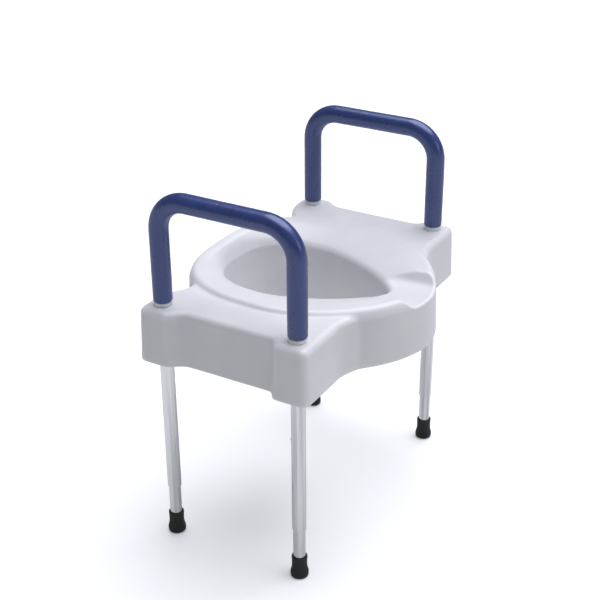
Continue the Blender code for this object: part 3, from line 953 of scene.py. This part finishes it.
    def distance(self, x: Array, y: Array, z: Array) -> Array:
        """Distance to the seat's surface, negative in the plastic.

        Args:
            x: Where, in mm. x and y have one shape.
            y: Where, in mm.
            z: Height in mm, in a shape that goes with x.

        Returns:
            The distances.
        """
        read = {name: plan.read(x, y) for name, plan in self.maps.items()}
        low, deck, crest = self.layout.underside, self.layout.deck_top, self.layout.crest
        flared = read["outline"] - self.base_flare * np.clip((deck - z) / (deck - low), 0.0, 1.0)
        slab = self.block(flared, z, low, deck, self.base_edge, self.deck_edge)
        ring = self.block(read["ring"] + self.ring_inset, z, low + 30.0, crest, 3.0,
                          self.ring_edge)
        body = smooth_min(slab, ring, 5.0)
        body = smooth_max(body, (z - read["top"]) * read["lean"], 4.0)
        hang = self.layout.lip_bottom
        fall = (self.hole_edge_z - z) / (self.hole_edge_z - hang)
        drafted = read["hole"] + self.hole_draft * fall
        lip = self.block(drafted - self.lip_wall, z, hang, low + self.lip_root, 1.8, 1.8)
        body = smooth_min(body, lip, 7.0)
        high_up = np.clip((z - low) / (self.hole_edge_z - low), 0.0, 1.0)
        body = smooth_max(body, -drafted, 1.5 + 8.0 * high_up ** 3)
        body = smooth_max(body, -self.dip(x, y, z), 3.0)
        for post_x, post_y in self.layout.posts.values():
            away = np.hypot(x - post_x, y - post_y)
            body = np.maximum(body, -np.maximum(away - self.socket_r, z - self.socket_top))
            body = np.maximum(body, -np.maximum(away - self.bore_r, self.socket_top - 3.0 - z))
        for side in (-1.0, 1.0):
            away = np.hypot(x - side * self.vent_x, y - self.vent_y)
            body = np.maximum(body, -np.maximum(away - self.vent_r, z - low - 8.0))
        return body

    def dip(self, x: Array, y: Array, z: Array) -> Array:
        """Distance to the hygiene dip's space, negative inside it.

        Args:
            x: Where, in mm.
            y: Where, in mm.
            z: Height in mm.

        Returns:
            The distances.
        """
        front = -self.ring_half_length
        inward = np.clip((y - front) / (self.dip_rear_y - front), 0.0, 1.0)
        above = z - (self.dip_floor_z - self.dip_fall * inward)
        wall = (np.abs(x) - self.dip_floor_half - self.dip_slope * above) * math.cos(
            math.atan(self.dip_slope))
        return smooth_max(smooth_max(wall, -above, 9.0), y - self.dip_rear_y, 6.0)

    def make(self) -> None:
        """Builds the seat's mesh on the field's surface."""
        self.draw_maps()
        spans = np.abs(self.left_outline()).max(axis=0) + self.base_flare + self.margin
        xs, ys = (np.arange(-s, s, self.voxel) for s in spans)
        zs = np.arange(self.layout.lip_bottom - 9.0, self.layout.crest + 9.0, self.voxel)
        x, y = np.meshgrid(xs, ys, indexing="ij")
        values = self.distance(x[..., None], y[..., None], zs[None, None, :])
        points, quads = surface_net(values, np.array([xs[0], ys[0], zs[0]]), self.voxel)
        nudge, rounds = 0.25, 3           # each round steps the points nearer to the surface
        for _ in range(rounds):
            here = self.distance(*points.T)
            slope = np.stack([self.distance(*(points + nudge * axis).T) - here
                              for axis in np.eye(3)], axis=1) / nudge
            steep = np.maximum((slope ** 2).sum(axis=1), 0.2)
            move = -(here / steep)[:, None] * slope
            points += np.clip(move, -self.voxel / 2.0, self.voxel / 2.0)
        mesh = mesh_from(points * MM, quads, "seat_body")
        add_piece("seat_body", mesh, Slot.SHELL, "seat", "seat_shell", sharp_deg=180.0)


# ---- armrests ---------------------------------------------------------------------------
@dataclass
class ArmRest:
    """One armrest: a bent tube, two foam sleeves, two collars and two lock clips."""

    layout: Layout
    side: Side
    tube_r: float = 11.1
    wall: float = 1.2
    bend_r: float = 57.0
    foam_r: float = 17.0
    foam_bore_r: float = 11.5
    foam_lift: float = 8.0                # foam's end above the deck
    foam_edge: float = 2.2                # rounding of the sleeve's lower end
    seam_edge: float = 0.15               # and of the end that meets the other sleeve
    seam_gap: float = 0.04                # from that end to the seam
    wrinkle: float = 0.28                 # where the foam is squeezed inside a bend
    wrinkle_pitch: float = 8.5
    crown: float = 0.25                   # how much fatter a sleeve is in its middle
    waver: float = 0.10                   # slow unevenness of an extruded sleeve
    waver_mm: float = 37.0
    collar_r: float = 16.0
    collar_bore_r: float = 11.4
    gap: float = 0.3
    sides: int = 56

    @property
    def body(self) -> str:
        """The body that the armrest rides on."""
        return f"armrest_{self.side.value}"

    @property
    def ends(self) -> tuple[Corner, Corner]:
        """The front and rear corners that it stands on."""
        return Corner(f"front_{self.side.value}"), Corner(f"rear_{self.side.value}")

    def stations(self, start_z: float, step: float = 2.0) -> tuple[Array, Array, Array]:
        """Points along the tube's centreline, up the front post and down the rear one.

        Args:
            start_z: The height that both posts start at.
            step: About how far apart the points are.

        Returns:
            The y and z of each point, the unit direction there, and how much it is bent there,
            from 0 to 1.
        """
        (_, front), (_, rear) = (self.layout.posts[c] for c in self.ends)
        spring = self.layout.hand_bar - self.bend_r
        rise = int((spring - start_z) / step)
        bar = int((rear - front - 2.0 * self.bend_r) / step)
        turn = int(self.bend_r * math.pi / 2.0 / step)
        points = [(front, z) for z in np.linspace(start_z, spring, rise, endpoint=False)]
        points += arc_points((front + self.bend_r, spring), self.bend_r, 180.0, 90.0, turn)
        points += [(y, self.layout.hand_bar) for y in
                   np.linspace(front + self.bend_r, rear - self.bend_r, bar, endpoint=False)[1:]]
        points += arc_points((rear - self.bend_r, spring), self.bend_r, 90.0, 0.0, turn)
        points += [(rear, z) for z in np.linspace(spring, start_z, rise)[1:]]
        place = np.array(points)
        ahead = np.gradient(place, axis=0)
        ahead /= np.linalg.norm(ahead, axis=1)[:, None]
        bent = np.zeros(len(place))
        bent[rise:rise + turn + 1] = np.sin(np.linspace(0.0, math.pi, turn + 1))
        late = rise + turn + bar
        bent[late:late + turn + 1] = np.sin(np.linspace(0.0, math.pi, turn + 1))
        return place, ahead, bent

    def rows(self, place: Array, ahead: Array, radius: Array) -> Array:
        """Rings of points round the centreline.

        Args:
            place: The y and z of each ring's centre.
            ahead: The direction there.
            radius: Each ring's radius, or one for each point of each ring.

        Returns:
            The points in metres, of shape (rings, sides, 3). Each ring starts on its outer side.
        """
        x = self.layout.posts[self.ends[0]][0]
        turn = np.linspace(0.0, 2.0 * math.pi, self.sides, endpoint=False)
        outward = np.stack([-ahead[:, 1], ahead[:, 0]], axis=1)
        radius = np.broadcast_to(np.asarray(radius).reshape(len(place), -1),
                                 (len(place), self.sides))
        rows = np.empty((len(place), self.sides, 3))
        rows[..., 0] = x + radius * np.sin(turn)
        rows[..., 1:] = place[:, None, :] + (radius * np.cos(turn))[..., None] * outward[:, None, :]
        return rows * MM

    def make_tube(self) -> None:
        """The bent tube, drilled for its two lock buttons."""
        place, ahead, _ = self.stations(self.layout.arm_bottom)
        outer = self.rows(place, ahead, np.full(len(place), self.tube_r))
        inner = self.rows(place, ahead, np.full(len(place), self.tube_r - self.wall))[::-1]
        mesh = skin(np.concatenate([outer, inner]), "arm_tube", closed=True)
        tube = add_piece(f"arm_bent_tube_{self.side.value}", mesh, Slot.ALLOY, self.body,
                         f"arm_tube_{self.side.value}")
        drill(tube, [(*self.layout.posts[c], self.layout.arm_lock_z) for c in self.ends],
              SnapButton.hole_r)

    def make_sleeve(self, end: str) -> None:
        """One foam sleeve: round ends, a slight crown and wrinkles inside its bend.

        Args:
            end: Which half of the armrest it covers, front or rear.
        """
        place, ahead, bent = self.stations(self.layout.deck_top + self.foam_lift, step=1.4)
        seam = self.layout.seam_y
        top = place[:, 1] > self.layout.hand_bar - self.bend_r
        is_front = place[:, 0] < seam
        keep = is_front if end == "front" else ~is_front
        place, ahead, bent, top = place[keep], ahead[keep], bent[keep], top[keep]
        # the ring nearest the seam is moved onto the sleeve's own end face
        face = seam - self.seam_gap if end == "front" else seam + self.seam_gap
        place[-1 if end == "front" else 0, 0] = face
        run = np.concatenate([[0.0], np.cumsum(np.linalg.norm(np.diff(place, axis=0), axis=1))])
        left = run[-1] - run
        from_foot, from_seam = (run, left) if end == "front" else (left, run)
        edge = sum(r - np.sqrt(np.maximum(r ** 2 - np.clip(r - away, 0.0, r) ** 2, 0.0))
                   for r, away in ((self.foam_edge, from_foot), (self.seam_edge, from_seam)))
        swell = (self.crown * np.sin(run / run[-1] * math.pi)
                 + self.waver * np.sin(run / self.waver_mm))
        turn = np.linspace(0.0, 2.0 * math.pi, self.sides, endpoint=False)
        squeezed = np.clip(-np.cos(turn), 0.0, 1.0) ** 2
        wave = 0.5 - 0.5 * np.cos(run * 2.0 * math.pi / self.wrinkle_pitch)
        pinch = self.wrinkle * np.outer(bent * wave, squeezed)
        radius = (self.foam_r + swell - edge)[:, None] - pinch
        outer = self.rows(place, ahead, radius)
        inner = self.rows(place, ahead, np.full(len(place), self.foam_bore_r))[::-1]
        mesh = skin(np.concatenate([outer, inner]), f"foam_{end}", closed=True)
        name = f"foam_sleeve_{end}_{self.side.value}"
        sleeve = add_piece(name, mesh, Slot.FOAM, self.body,
                           f"arm_foam_{end}_{self.side.value}")

    def make_collar(self, corner: Corner) -> None:
        """The white collar that the armrest stands on.

        Args:
            corner: Which corner it is at.
        """
        low = self.layout.deck_top + self.gap
        high = self.layout.deck_top + self.foam_lift - self.gap
        foot, edge, lead = 0.6, 1.8, 0.5  # roundings of the foot, the shoulder and the bore
        profile = arc_points((self.collar_r - foot, low + foot), foot, -90.0, 0.0, 4)
        profile += arc_points((self.collar_r - edge, high - edge), edge, 0.0, 90.0, 8)
        profile += arc_points((self.collar_bore_r + lead, high - lead), lead, 90.0, 180.0, 4)
        profile += [(self.collar_bore_r, low)]
        mesh = turned(profile, "collar", *self.layout.posts[corner])
        add_piece(f"collar_{corner.value}", mesh, Slot.COLLAR, self.body,
                  f"arm_collar_{corner.value}")

    def make(self) -> None:
        """Builds the whole armrest."""
        self.make_tube()
        for end in ("front", "rear"):
            self.make_sleeve(end)
        for corner in self.ends:
            self.make_collar(corner)
            LeafSpring(self.layout, corner).make_clip(self.body)


# ---- snap buttons -----------------------------------------------------------------------
@dataclass
class LeafSpring:
    """A folded strip of spring steel inside a tube."""

    layout: Layout
    corner: Corner
    half_width: float = 4.0
    thick: float = 0.7
    back_y: float = 8.6
    length: float = 44.0
    bend_share: float = 0.35              # of the length, from the button to where the fold starts
    leg_share: float = 0.60               # of the length, along each leg of the fold
    edge: float = 0.12                    # its stamped edges, broken
    slack: float = 0.3                    # between the spring and the button's flange
    depth: float = 17.2                   # between the outer faces of a clip's two legs

    def outline(self, front_y: float, up: bool) -> list[Point2]:
        """The folded strip's side view about the button's height.

        Args:
            front_y: Where the button's leg lies, from the tube's axis.
            up: Whether the fold is above the button.

        Returns:
            Points of y and z in mm.
        """
        turn = 1.0 if up else -1.0
        middle, reach = (front_y - self.back_y) / 2.0, (front_y + self.back_y) / 2.0
        bend = turn * self.length * self.bend_share
        tail = bend - turn * self.length * self.leg_share
        outer, inner = ([(middle + r * math.cos(a), bend + turn * r * math.sin(a))
                         for a in np.linspace(0.0, math.pi, 25)]
                        for r in (reach, reach - self.thick))
        return ([(front_y, tail)] + outer + [(-self.back_y, tail), (self.thick - self.back_y, tail)]
                + inner[::-1] + [(front_y - self.thick, tail)])

    def strip(self, front_y: float, up: bool, z: float) -> bpy.types.Mesh:
        """The folded strip as a mesh in place.

        Args:
            front_y: Where the button's leg lies, from the tube's axis.
            up: Whether the fold is above the button.
            z: The button's height.

        Returns:
            The mesh.
        """
        x, y = self.layout.posts[self.corner]
        outline = self.outline(front_y, up)
        rows = np.array([[(x + side * self.half_width, y + p, z + q) for p, q in outline]
                         for side in (-1.0, 1.0)])
        return skin(rows * MM, "leaf", closed=False)

    def make_spring(self, body: str) -> None:
        """The leg button's spring.

        Args:
            body: The body that it rides on.
        """
        mesh = self.strip(SnapButton.flange_inner - self.slack, False, self.layout.button_z)
        spring = add_piece(f"leaf_spring_{self.corner.value}", mesh, Slot.STEEL, body,
                           f"leg_button_spring_{self.corner.value}")
        add_bevel(spring, self.edge)

    def make_clip(self, body: str) -> None:
        """The armrest's lock clip: a folded strip with its button riveted on.

        Args:
            body: The body that it rides on.
        """
        mesh = self.strip(self.back_y, True, self.layout.arm_lock_z)
        head = SnapButton(self.layout, self.corner).head(self.back_y - self.thick,
                                                         self.layout.arm_lock_z)
        bm = bmesh.new()
        bm.from_mesh(mesh)
        bm.from_mesh(head)
        bm.to_mesh(mesh)
        bm.free()
        clip = add_piece(f"lock_clip_{self.corner.value}", mesh, Slot.STEEL, body,
                         f"arm_lock_clip_{self.corner.value}")
        add_bevel(clip, self.edge)


@dataclass
class SnapButton:
    """The domed button that locks a leg at its height."""

    layout: Layout
    corner: Corner
    radius: float = 3.0
    tip: float = 15.2                     # from the tube's axis
    dome: float = 1.5
    flange_r: float = 4.3
    flange_inner: float = 7.5
    flange_outer: float = 8.5
    edge: float = 0.2                     # the flange's edges
    hole_r: float = 3.3
    leg_hole_r: float = 3.5

    def placed(self, profile: Sequence[Point2], z: float) -> bpy.types.Mesh:
        """Turns a profile about an axis along +Y at the button's place.

        Args:
            profile: (radius, distance from the tube's axis) points.
            z: The button's height.

        Returns:
            The mesh.
        """
        mesh = turned(profile, "button", 0.0, 0.0, sides=32, closed=False)
        x, y = self.layout.posts[self.corner]
        mesh.transform(Matrix.Translation(Vector((x, y, z)) * MM)
                       @ Matrix.Rotation(math.radians(-90.0), 4, "X"))
        return mesh

    def head(self, root: float, z: float) -> bpy.types.Mesh:
        """The domed pin that stands out through the tubes, from root to its tip, at height z."""
        return self.placed([(self.radius, root)] + self.crown(), z)

    def crown(self) -> list[Point2]:
        """The pin's side and its dome, up to a small flat."""
        angles = np.radians(np.linspace(0.0, 84.0, 9))
        return [(self.radius * math.cos(a), self.tip - self.dome * (1.0 - math.sin(a)))
                for a in angles]

    def make(self) -> None:
        """Builds the leg's button."""
        rim, inner, outer, edge = self.flange_r, self.flange_inner, self.flange_outer, self.edge
        profile = [(rim - edge, inner), (rim, inner + edge), (rim, outer - edge),
                   (rim - edge, outer), (self.radius, outer)] + self.crown()
        mesh = self.placed(profile, self.layout.button_z)
        add_piece(f"snap_button_{self.corner.value}", mesh, Slot.STEEL,
                  f"button_{self.corner.value}", f"leg_button_{self.corner.value}")


# ---- legs -------------------------------------------------------------------------------
@dataclass
class Leg:
    """One leg: an outer tube in the seat, an extension in it, a rubber tip and its washer."""

    layout: Layout
    corner: Corner
    outer_r: float = 12.7
    slim_r: float = 11.1
    wall: float = 1.2
    hole_pitch: float = 12.7
    holes_below: int = 4
    holes_above: int = 2
    washer_r: float = 10.9
    washer_bore_r: float = 4.0

    @property
    def body(self) -> str:
        """The body that the sliding half rides on."""
        return f"leg_{self.corner.value}"

    def tube(self, name: str, node: str, body: str, radius: float, low: float,
             high: float) -> bpy.types.Object:
        """A straight tube with its cut ends deburred.

        Args:
            name: The piece's name.
            node: The frame's node that it stands for.
            body: The body that it rides on.
            radius: Its outer radius.
            low: Its bottom.
            high: Its top.

        Returns:
            The tube.
        """
        inner, burr = radius - self.wall, 0.3
        rise = np.linspace(low + burr, high - burr, 12)
        profile = [(radius, z) for z in rise]
        profile += [(radius - burr, high), (inner + burr, high)]
        profile += [(inner, z) for z in rise[::-1]]
        profile += [(inner + burr, low), (radius - burr, low)]
        mesh = turned(profile, name, *self.layout.posts[self.corner])
        return add_piece(name, mesh, Slot.ALLOY, body, node)

    def make_tubes(self) -> None:
        """The outer tube with its height holes, and the extension with its button hole."""
        where = self.corner.value
        x, y = self.layout.posts[self.corner]
        outer = self.tube(f"leg_outer_{where}", f"leg_tube_{where}", "seat", self.outer_r,
                          self.layout.leg_bottom, self.layout.leg_top)
        heights = [self.layout.button_z + k * self.hole_pitch
                   for k in range(-self.holes_below, self.holes_above + 1)]
        drill(outer, [(x, y, z) for z in heights + [self.layout.arm_lock_z]],
              SnapButton.leg_hole_r)
        slim = self.tube(f"leg_inner_{where}", f"leg_extension_{where}", self.body, self.slim_r,
                         self.layout.extension_bottom, self.layout.extension_top)
        drill(slim, [(x, y, self.layout.button_z)], SnapButton.hole_r)

    def make_tip(self) -> None:
        """The flared rubber tip, with a bead at its mouth and rings in its sole."""
        profile: list[Point2] = [(0.4, 0.0)]
        for inner in (3.2, 6.4, 9.6):
            profile += [(inner, 0.0), (inner + 0.3, 1.4), (inner + 1.3, 1.4), (inner + 1.6, 0.0)]
        profile += [(13.6, 0.0)]
        profile += arc_points((13.6, 2.6), 2.6, -70.0, 0.0, 6)
        profile += [(16.45, 5.0), (16.55, 7.0), (16.4, 9.5), (15.9, 12.2), (15.1, 15.0),
                    (14.4, 17.6), (14.05, 20.5), (13.9, 24.0), (13.8, 35.8), (13.95, 36.6),
                    (14.25, 37.4), (14.3, 38.6), (14.3, 40.8)]
        profile += arc_points((13.1, 41.8), 1.2, 0.0, 90.0, 5)
        profile += arc_points((12.2, 42.2), 0.8, 90.0, 180.0, 4)
        profile += [(11.4, 40.0), (11.4, 6.4), (11.0, 6.0), (0.4, 6.0)]
        mesh = turned(profile, "tip", *self.layout.posts[self.corner])
        add_piece(f"rubber_tip_{self.corner.value}", mesh, Slot.RUBBER, self.body,
                  f"leg_tip_{self.corner.value}", sharp_deg=50.0)

    def make_washer(self) -> None:
        """The pressed steel washer on the tip's floor, slightly dished."""
        low, _ = box_mm(f"tip_washer_{self.corner.value}")
        z, thick, dish, edge = low[2], 1.1, 0.2, 0.2
        rim, bore = self.washer_r, self.washer_bore_r
        profile = [(bore, z + dish), (rim - edge, z), (rim, z + edge), (rim, z + thick - edge),
                   (rim - edge, z + thick), (bore + edge, z + thick + dish), (bore, z + thick)]
        mesh = turned(profile, "washer", *self.layout.posts[self.corner], sides=48)
        add_piece(f"washer_{self.corner.value}", mesh, Slot.STEEL, self.body,
                  f"tip_washer_{self.corner.value}")

    def make(self) -> None:
        """Builds the whole leg."""
        self.make_tubes()
        self.make_tip()
        self.make_washer()
        SnapButton(self.layout, self.corner).make()
        LeafSpring(self.layout, self.corner).make_spring(self.body)


# ---- studio -----------------------------------------------------------------------------
@dataclass
class Studio:
    """A pale floor, soft lights and the camera."""

    eye: tuple[float, float, float] = (-1784.2, -1004.0, 1451.2)
    aim: tuple[float, float, float] = (25.8, 54.0, 386.4)
    roll_deg: float = -0.413
    lens_mm: float = 74.2
    sensor_mm: float = 36.0
    floor_half_m: float = 14.0
    floor_drop_m: float = 0.0005          # below the soles, so that the two don't share a plane
    floor_paper: str = "#fbfbfb"
    floor_bounce: str = "#d4d4d2"         # what it throws back up, as though flagged off the legs
    floor_glow: float = 0.16
    sky: float = 0.20
    sky_tint: tuple[float, float, float, float] = (0.93, 0.97, 1.06, 1.0)
    ceiling_from: tuple[float, float, float] = (0.26, -0.10, 0.95)
    ceiling_spread_deg: float = 64.0
    ceiling_power: float = 2.95
    ceiling_tint: tuple[float, float, float] = (0.965, 0.97, 1.04)
    softbox_at: tuple[float, float, float] = (0.2, -2.8, 1.6)
    softbox_aim: tuple[float, float, float] = (0.0, 0.0, 0.45)
    softbox_size_m: float = 0.9
    softbox_watts: float = 6.0

    @staticmethod
    def place(name: str, data: bpy.types.ID, at: Vector, ahead: Vector) -> bpy.types.Object:
        """Puts a camera or light at a place in metres, facing ahead."""
        obj = bpy.data.objects.new(name, data)
        obj.location = at
        obj.rotation_mode = "QUATERNION"
        obj.rotation_quaternion = ahead.to_track_quat("-Z", "Y")
        bpy.context.scene.collection.objects.link(obj)
        return obj

    def make_camera(self) -> None:
        """The camera, at the three-quarter view from the user's right and front."""
        data = bpy.data.cameras.new("camera")
        data.lens, data.sensor_width = self.lens_mm, self.sensor_mm
        ahead = Vector(self.aim) - Vector(self.eye)
        camera = self.place("camera", data, Vector(self.eye) * MM, ahead)
        camera.rotation_quaternion = camera.rotation_quaternion @ Quaternion(
            (0.0, 0.0, 1.0), math.radians(self.roll_deg))
        bpy.context.scene.camera = camera

    def make_floor(self) -> None:
        """A plain floor, whiter to the camera than in the light it throws back."""
        paint = Paint("studio_paper_white")
        seen = paint.add("ShaderNodeLightPath").outputs["Is Camera Ray"]
        paint.feed(Base_Color=paint.mix(seen, self.floor_bounce, self.floor_paper),
                   Emission_Strength=paint.maths("MULTIPLY", seen, self.floor_glow),
                   Emission_Color=(1.0, 1.0, 1.0, 1.0), Roughness=0.9, Specular_IOR_Level=0.1)
        half = self.floor_half_m
        corners = np.array([(x * half, y * half, -self.floor_drop_m)
                            for x, y in ((-1, -1), (1, -1), (1, 1), (-1, 1))])
        floor = bpy.data.objects.new("floor", mesh_from(corners, np.array([[0, 1, 2, 3]]), "floor"))
        floor.data.materials.append(paint.material)
        bpy.context.scene.collection.objects.link(floor)

    def make_softbox(self) -> None:
        """A weak soft square light in front."""
        data = bpy.data.lights.new("softbox_front", "AREA")
        data.size, data.energy = self.softbox_size_m, self.softbox_watts
        at = Vector(self.softbox_at)
        self.place("softbox_front", data, at, Vector(self.softbox_aim) - at)

    def make_ceiling(self) -> None:
        """The wide bank of lamps overhead, a little in front of the seat, as one soft sun."""
        data = bpy.data.lights.new("ceiling_bank", "SUN")
        data.angle = math.radians(self.ceiling_spread_deg)
        data.energy = self.ceiling_power
        data.color = self.ceiling_tint
        self.place("ceiling_bank", data, Vector(), -Vector(self.ceiling_from))

    def make_sky(self) -> None:
        """An even soft light from everywhere."""
        world = bpy.data.worlds.new("studio")
        bpy.context.scene.world = world
        world.use_nodes = True
        shade = world.node_tree.nodes["Background"]
        shade.inputs["Color"].default_value = self.sky_tint
        shade.inputs["Strength"].default_value = self.sky

    def make(self) -> None:
        """Builds the whole studio."""
        bpy.context.scene.view_settings.view_transform = "Standard"
        self.make_camera()
        self.make_floor()
        self.make_sky()
        self.make_ceiling()
        self.make_softbox()


def main() -> None:
    """Builds the raised toilet seat and its studio."""
    logging.basicConfig(level=logging.INFO, format="%(message)s")
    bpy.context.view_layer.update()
    Studio().make()
    WARDROBE.make()
    layout = Layout.from_frame()
    SeatBody(layout).make()
    for side in Side:
        ArmRest(layout, side).make()
    for corner in Corner:
        Leg(layout, corner).make()


if __name__ == "__main__":
    main()
